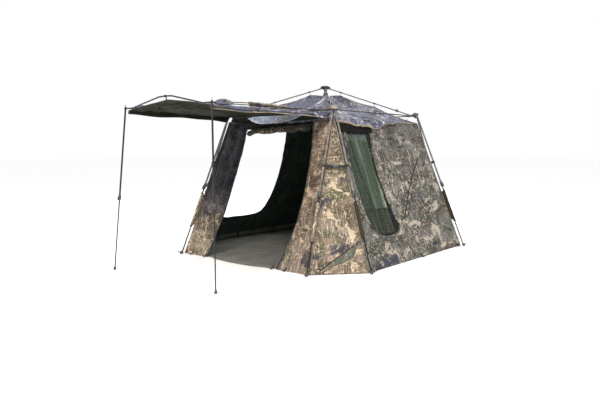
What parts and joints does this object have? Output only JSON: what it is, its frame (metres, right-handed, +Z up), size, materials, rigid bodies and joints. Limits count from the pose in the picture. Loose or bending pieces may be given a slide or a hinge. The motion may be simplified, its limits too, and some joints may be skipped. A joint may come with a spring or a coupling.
{
  "type": "pop up tent",
  "caption": "Square shelter hung inside a folding outside frame with telescopic legs, with an open doorway, side openings and an awning on two poles.",
  "frame": {"origin": "middle of the groundsheet's underside, on the ground", "axes": "+Z up, -Y out of the doorway towards the awning, +X to the right for someone looking in from the doorway"},
  "size_m": [3.1118, 4.0999, 2.157],
  "materials": {
    "steel": "dark satin",
    "plastic": "moulded",
    "camo_cloth": "printed woven polyester",
    "olive_cloth": "coated woven polyester",
    "netting": "fine net"
  },
  "bodies": {
    "ground": {"groundsheet": "olive_cloth"},
    "hub": {"hub": "plastic"},
    "arm_front_right": {"roof_arm_front_right": "steel", "roof_quarter_front_right": "camo_cloth"},
    "corner_front_right": {"corner_joint_front_right": "plastic"},
    "leg_front_right_front": {"upper_leg_front_right_front": "steel", "front_wall_right": "camo_cloth", "door_roll": "camo_cloth", "corner_panel_front_right": "camo_cloth"},
    "foot_front_right_front": {"lower_leg_front_right_front": "steel"},
    "leg_front_right_side": {"upper_leg_front_right_side": "steel", "right_wall_window": "camo_cloth", "window_mesh": "netting"},
    "foot_front_right_side": {"lower_leg_front_right_side": "steel"},
    "bar_front_right": {"front_eave_bar_right": "steel"},
    "bar_right_front": {"right_eave_bar_front": "steel"},
    "arm_back_right": {"roof_arm_back_right": "steel", "roof_quarter_back_right": "camo_cloth"},
    "corner_back_right": {"corner_joint_back_right": "plastic"},
    "leg_back_right_back": {"upper_leg_back_right_back": "steel", "back_wall": "camo_cloth", "corner_panel_back_right": "camo_cloth"},
    "foot_back_right_back": {"lower_leg_back_right_back": "steel"},
    "leg_back_right_side": {"upper_leg_back_right_side": "steel", "right_wall_rear": "camo_cloth"},
    "foot_back_right_side": {"lower_leg_back_right_side": "steel"},
    "bar_back_right": {"back_eave_bar_right": "steel"},
    "bar_right_back": {"right_eave_bar_back": "steel"},
    "arm_back_left": {"roof_arm_back_left": "steel", "roof_quarter_back_left": "camo_cloth"},
    "corner_back_left": {"corner_joint_back_left": "plastic"},
    "leg_back_left_back": {"upper_leg_back_left_back": "steel", "corner_panel_back_left": "camo_cloth"},
    "foot_back_left_back": {"lower_leg_back_left_back": "steel"},
    "leg_back_left_side": {"upper_leg_back_left_side": "steel"},
    "foot_back_left_side": {"lower_leg_back_left_side": "steel"},
    "bar_back_left": {"back_eave_bar_left": "steel"},
    "bar_left_back": {"left_eave_bar_back": "steel"},
    "arm_front_left": {"roof_arm_front_left": "steel", "roof_quarter_front_left": "camo_cloth"},
    "corner_front_left": {"corner_joint_front_left": "plastic"},
    "leg_front_left_front": {"upper_leg_front_left_front": "steel", "front_wall_left": "camo_cloth", "corner_panel_front_left": "camo_cloth"},
    "foot_front_left_front": {"lower_leg_front_left_front": "steel"},
    "leg_front_left_side": {"upper_leg_front_left_side": "steel", "left_wall": "camo_cloth"},
    "foot_front_left_side": {"lower_leg_front_left_side": "steel"},
    "bar_front_left": {"front_eave_bar_left": "steel"},
    "bar_left_front": {"left_eave_bar_front": "steel"},
    "awning": {"awning_front_bar": "steel", "awning_canopy": "camo_cloth", "awning_side_rod_right": "steel", "awning_side_rod_left": "steel", "awning_arch_rod_right": "steel", "awning_arch_rod_left": "steel"},
    "awning_pole_right": {"awning_pole_right_upper": "steel"},
    "awning_pole_foot_right": {"awning_pole_right_lower": "steel"},
    "awning_pole_left": {"awning_pole_left_upper": "steel"},
    "awning_pole_foot_left": {"awning_pole_left_lower": "steel"}
  },
  "joints": [
    {"name": "hub_lift", "type": "slide", "parent": "ground", "child": "hub", "axis": [0, 0, 1], "range_m": [0, 1], "deforming": ["front_wall_right", "door_roll", "front_wall_left", "right_wall_window", "window_mesh", "right_wall_rear", "back_wall", "left_wall", "corner_panel_front_right", "corner_panel_back_right", "corner_panel_back_left", "corner_panel_front_left", "roof_quarter_front_right", "roof_quarter_back_right", "roof_quarter_back_left", "roof_quarter_front_left", "groundsheet"]},
    {"name": "arm_hinge_front_right", "type": "hinge", "parent": "hub", "child": "arm_front_right", "pos_m": [0.03182, -0.03182, 2.123], "axis": [0.7071, 0.7071, 0], "range_deg": [0, 67.75]},
    {"name": "corner_hinge_front_right", "type": "hinge", "parent": "arm_front_right", "child": "corner_front_right", "pos_m": [0.85737, -0.85737, 1.76], "axis": [0.7071, 0.7071, 0], "range_deg": [-67.75, 0]},
    {"name": "leg_hinge_front_right_front", "type": "hinge", "parent": "corner_front_right", "child": "leg_front_right_front", "pos_m": [0.88829, -0.91091, 1.746], "axis": [0.9659, 0.259, 0], "range_deg": [0, 19.48]},
    {"name": "leg_slide_front_right_front", "type": "slide", "parent": "leg_front_right_front", "child": "foot_front_right_front", "axis": [-0.0905, 0.3376, 0.9369], "range_m": [0, 0.8]},
    {"name": "leg_hinge_front_right_side", "type": "hinge", "parent": "corner_front_right", "child": "leg_front_right_side", "pos_m": [0.91091, -0.88829, 1.746], "axis": [0.259, 0.9659, 0], "range_deg": [0, 19.48]},
    {"name": "leg_slide_front_right_side", "type": "slide", "parent": "leg_front_right_side", "child": "foot_front_right_side", "axis": [-0.3376, 0.0905, 0.9369], "range_m": [0, 0.8]},
    {"name": "bar_hinge_front_right", "type": "hinge", "parent": "corner_front_right", "child": "bar_front_right", "pos_m": [0.848, -0.88, 1.76], "axis": [0, -1, 0], "range_deg": [0, 83.4]},
    {"name": "bar_hinge_right_front", "type": "hinge", "parent": "corner_front_right", "child": "bar_right_front", "pos_m": [0.88, -0.848, 1.76], "axis": [-1, 0, 0], "range_deg": [0, 83.4]},
    {"name": "arm_hinge_back_right", "type": "hinge", "parent": "hub", "child": "arm_back_right", "pos_m": [0.03182, 0.03182, 2.123], "axis": [-0.7071, 0.7071, 0], "range_deg": [0, 67.75]},
    {"name": "corner_hinge_back_right", "type": "hinge", "parent": "arm_back_right", "child": "corner_back_right", "pos_m": [0.85737, 0.85737, 1.76], "axis": [-0.7071, 0.7071, 0], "range_deg": [-67.75, 0]},
    {"name": "leg_hinge_back_right_back", "type": "hinge", "parent": "corner_back_right", "child": "leg_back_right_back", "pos_m": [0.88829, 0.91091, 1.746], "axis": [-0.9659, 0.259, 0], "range_deg": [0, 19.48]},
    {"name": "leg_slide_back_right_back", "type": "slide", "parent": "leg_back_right_back", "child": "foot_back_right_back", "axis": [-0.0905, -0.3376, 0.9369], "range_m": [0, 0.8]},
    {"name": "leg_hinge_back_right_side", "type": "hinge", "parent": "corner_back_right", "child": "leg_back_right_side", "pos_m": [0.91091, 0.88829, 1.746], "axis": [-0.259, 0.9659, 0], "range_deg": [0, 19.48]},
    {"name": "leg_slide_back_right_side", "type": "slide", "parent": "leg_back_right_side", "child": "foot_back_right_side", "axis": [-0.3376, -0.0905, 0.9369], "range_m": [0, 0.8]},
    {"name": "bar_hinge_back_right", "type": "hinge", "parent": "corner_back_right", "child": "bar_back_right", "pos_m": [0.848, 0.88, 1.76], "axis": [0, -1, 0], "range_deg": [0, 83.4]},
    {"name": "bar_hinge_right_back", "type": "hinge", "parent": "corner_back_right", "child": "bar_right_back", "pos_m": [0.88, 0.848, 1.76], "axis": [1, 0, 0], "range_deg": [0, 83.4]},
    {"name": "arm_hinge_back_left", "type": "hinge", "parent": "hub", "child": "arm_back_left", "pos_m": [-0.03182, 0.03182, 2.123], "axis": [-0.7071, -0.7071, 0], "range_deg": [0, 67.75]},
    {"name": "corner_hinge_back_left", "type": "hinge", "parent": "arm_back_left", "child": "corner_back_left", "pos_m": [-0.85737, 0.85737, 1.76], "axis": [-0.7071, -0.7071, 0], "range_deg": [-67.75, 0]},
    {"name": "leg_hinge_back_left_back", "type": "hinge", "parent": "corner_back_left", "child": "leg_back_left_back", "pos_m": [-0.88829, 0.91091, 1.746], "axis": [-0.9659, -0.259, 0], "range_deg": [0, 19.48]},
    {"name": "leg_slide_back_left_back", "type": "slide", "parent": "leg_back_left_back", "child": "foot_back_left_back", "axis": [0.0905, -0.3376, 0.9369], "range_m": [0, 0.8]},
    {"name": "leg_hinge_back_left_side", "type": "hinge", "parent": "corner_back_left", "child": "leg_back_left_side", "pos_m": [-0.91091, 0.88829, 1.746], "axis": [-0.259, -0.9659, 0], "range_deg": [0, 19.48]},
    {"name": "leg_slide_back_left_side", "type": "slide", "parent": "leg_back_left_side", "child": "foot_back_left_side", "axis": [0.3376, -0.0905, 0.9369], "range_m": [0, 0.8]},
    {"name": "bar_hinge_back_left", "type": "hinge", "parent": "corner_back_left", "child": "bar_back_left", "pos_m": [-0.848, 0.88, 1.76], "axis": [0, 1, 0], "range_deg": [0, 83.4]},
    {"name": "bar_hinge_left_back", "type": "hinge", "parent": "corner_back_left", "child": "bar_left_back", "pos_m": [-0.88, 0.848, 1.76], "axis": [1, 0, 0], "range_deg": [0, 83.4]},
    {"name": "arm_hinge_front_left", "type": "hinge", "parent": "hub", "child": "arm_front_left", "pos_m": [-0.03182, -0.03182, 2.123], "axis": [0.7071, -0.7071, 0], "range_deg": [0, 67.75]},
    {"name": "corner_hinge_front_left", "type": "hinge", "parent": "arm_front_left", "child": "corner_front_left", "pos_m": [-0.85737, -0.85737, 1.76], "axis": [0.7071, -0.7071, 0], "range_deg": [-67.75, 0]},
    {"name": "leg_hinge_front_left_front", "type": "hinge", "parent": "corner_front_left", "child": "leg_front_left_front", "pos_m": [-0.88829, -0.91091, 1.746], "axis": [0.9659, -0.259, 0], "range_deg": [0, 19.48]},
    {"name": "leg_slide_front_left_front", "type": "slide", "parent": "leg_front_left_front", "child": "foot_front_left_front", "axis": [0.0905, 0.3376, 0.9369], "range_m": [0, 0.8]},
    {"name": "leg_hinge_front_left_side", "type": "hinge", "parent": "corner_front_left", "child": "leg_front_left_side", "pos_m": [-0.91091, -0.88829, 1.746], "axis": [0.259, -0.9659, 0], "range_deg": [0, 19.48]},
    {"name": "leg_slide_front_left_side", "type": "slide", "parent": "leg_front_left_side", "child": "foot_front_left_side", "axis": [0.3376, 0.0905, 0.9369], "range_m": [0, 0.8]},
    {"name": "bar_hinge_front_left", "type": "hinge", "parent": "corner_front_left", "child": "bar_front_left", "pos_m": [-0.848, -0.88, 1.76], "axis": [0, 1, 0], "range_deg": [0, 83.4]},
    {"name": "bar_hinge_left_front", "type": "hinge", "parent": "corner_front_left", "child": "bar_left_front", "pos_m": [-0.88, -0.848, 1.76], "axis": [-1, 0, 0], "range_deg": [0, 83.4]},
    {"name": "awning_swing", "type": "hinge", "parent": "ground", "child": "awning", "pos_m": [0, -0.91, 1.748], "axis": [1, 0, 0], "range_deg": [0, 25]},
    {"name": "pole_swing_right", "type": "hinge", "parent": "awning", "child": "awning_pole_right", "pos_m": [0.728, -2.449, 1.75], "axis": [1, 0, 0], "range_deg": [-25.02, 0]},
    {"name": "pole_slide_right", "type": "slide", "parent": "awning_pole_right", "child": "awning_pole_foot_right", "axis": [-0.0723, 0.0473, 0.9963], "range_m": [0, 0.6537]},
    {"name": "pole_swing_left", "type": "hinge", "parent": "awning", "child": "awning_pole_left", "pos_m": [-0.728, -2.449, 1.75], "axis": [1, 0, 0], "range_deg": [-25.02, 0]},
    {"name": "pole_slide_left", "type": "slide", "parent": "awning_pole_left", "child": "awning_pole_foot_left", "axis": [0.0723, 0.0473, 0.9963], "range_m": [0, 0.6537]}
  ],
  "couplings": [
    {"joint": "arm_hinge_front_right", "follows": "hub_lift", "rad_per_m": 1.1821},
    {"joint": "corner_hinge_front_right", "follows": "hub_lift", "rad_per_m": -1.1821},
    {"joint": "leg_hinge_front_right_front", "follows": "hub_lift", "rad_per_m": 0.33959},
    {"joint": "leg_hinge_front_right_side", "follows": "hub_lift", "rad_per_m": 0.33959},
    {"joint": "bar_hinge_front_right", "follows": "hub_lift", "rad_per_m": 1.4552},
    {"joint": "bar_hinge_right_front", "follows": "hub_lift", "rad_per_m": 1.4552},
    {"joint": "arm_hinge_back_right", "follows": "hub_lift", "rad_per_m": 1.1821},
    {"joint": "corner_hinge_back_right", "follows": "hub_lift", "rad_per_m": -1.1821},
    {"joint": "leg_hinge_back_right_back", "follows": "hub_lift", "rad_per_m": 0.33959},
    {"joint": "leg_hinge_back_right_side", "follows": "hub_lift", "rad_per_m": 0.33959},
    {"joint": "bar_hinge_back_right", "follows": "hub_lift", "rad_per_m": 1.4552},
    {"joint": "bar_hinge_right_back", "follows": "hub_lift", "rad_per_m": 1.4552},
    {"joint": "arm_hinge_back_left", "follows": "hub_lift", "rad_per_m": 1.1821},
    {"joint": "corner_hinge_back_left", "follows": "hub_lift", "rad_per_m": -1.1821},
    {"joint": "leg_hinge_back_left_back", "follows": "hub_lift", "rad_per_m": 0.33959},
    {"joint": "leg_hinge_back_left_side", "follows": "hub_lift", "rad_per_m": 0.33959},
    {"joint": "bar_hinge_back_left", "follows": "hub_lift", "rad_per_m": 1.4552},
    {"joint": "bar_hinge_left_back", "follows": "hub_lift", "rad_per_m": 1.4552},
    {"joint": "arm_hinge_front_left", "follows": "hub_lift", "rad_per_m": 1.1821},
    {"joint": "corner_hinge_front_left", "follows": "hub_lift", "rad_per_m": -1.1821},
    {"joint": "leg_hinge_front_left_front", "follows": "hub_lift", "rad_per_m": 0.33959},
    {"joint": "leg_hinge_front_left_side", "follows": "hub_lift", "rad_per_m": 0.33959},
    {"joint": "bar_hinge_front_left", "follows": "hub_lift", "rad_per_m": 1.4552},
    {"joint": "bar_hinge_left_front", "follows": "hub_lift", "rad_per_m": 1.4552},
    {"joint": "pole_swing_right", "follows": "awning_swing", "ratio": -1},
    {"joint": "pole_slide_right", "follows": "awning_swing", "m_per_rad": 1.4958},
    {"joint": "pole_swing_left", "follows": "awning_swing", "ratio": -1},
    {"joint": "pole_slide_left", "follows": "awning_swing", "m_per_rad": 1.4958}
  ]
}
